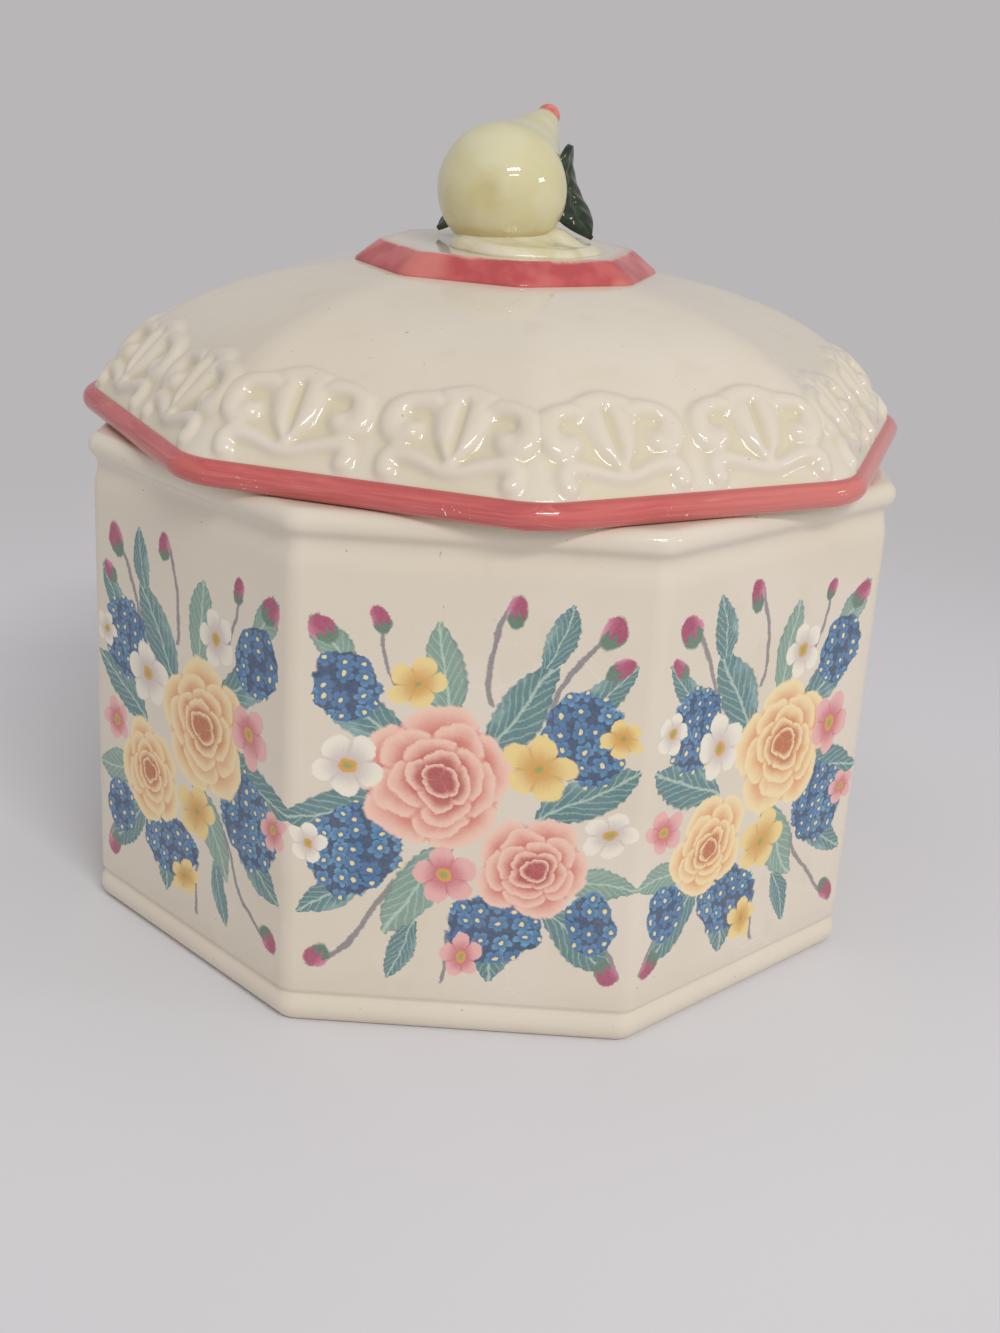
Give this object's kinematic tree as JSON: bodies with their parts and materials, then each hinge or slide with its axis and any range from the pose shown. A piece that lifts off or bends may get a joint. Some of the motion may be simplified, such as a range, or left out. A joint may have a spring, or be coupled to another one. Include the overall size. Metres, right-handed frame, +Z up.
{
  "type": "ceramic canister",
  "caption": "Octagonal glazed ceramic canister with a round mouth, a lift-off domed lid with scrolled shell reliefs, a coral roll edge and a pear finial for a knob.",
  "frame": {"origin": "middle of the foot, on the surface that the jar stands on", "axes": "+Z up along the axis of the mouth, -Y towards the viewer of the picture"},
  "size_m": [0.1714, 0.1714, 0.1653],
  "materials": {
    "cream_glaze": null,
    "coral_glaze": "glossy brushed coral-pink glaze",
    "pear_glaze": "glossy pale yellow-green glaze",
    "leaf_glaze": "glossy dark green glaze",
    "seal_silicone": "milky flexible ring"
  },
  "bodies": {
    "jar": {"jar_body": "cream_glaze"},
    "seal": {"seal_ring": "seal_silicone"},
    "lid": {"lid_shell": "cream_glaze", "lid_roll": "coral_glaze", "knob_plate": "coral_glaze", "finial_pad": "pear_glaze", "pear": "pear_glaze", "pear_stem": "coral_glaze", "leaf_right": "leaf_glaze", "leaf_left": "leaf_glaze", "shell_sprig_01": "cream_glaze", "shell_sprig_02": "cream_glaze", "shell_sprig_03": "cream_glaze", "shell_sprig_04": "cream_glaze", "shell_sprig_05": "cream_glaze", "shell_sprig_06": "cream_glaze", "shell_sprig_07": "cream_glaze", "shell_sprig_08": "cream_glaze", "shell_sprig_09": "cream_glaze", "shell_sprig_10": "cream_glaze", "shell_sprig_11": "cream_glaze", "shell_sprig_12": "cream_glaze", "shell_sprig_13": "cream_glaze", "shell_sprig_14": "cream_glaze", "shell_sprig_15": "cream_glaze", "shell_sprig_16": "cream_glaze"}
  },
  "joints": [
    {"name": "lid_lift", "type": "slide", "parent": "jar", "child": "seal", "axis": [0, 0, 1], "range_m": [0, 0.15]},
    {"name": "lid_turn", "type": "hinge", "parent": "seal", "child": "lid", "pos_m": [0, 0, 0.101], "axis": [0, 0, 1], "continuous": true}
  ]
}
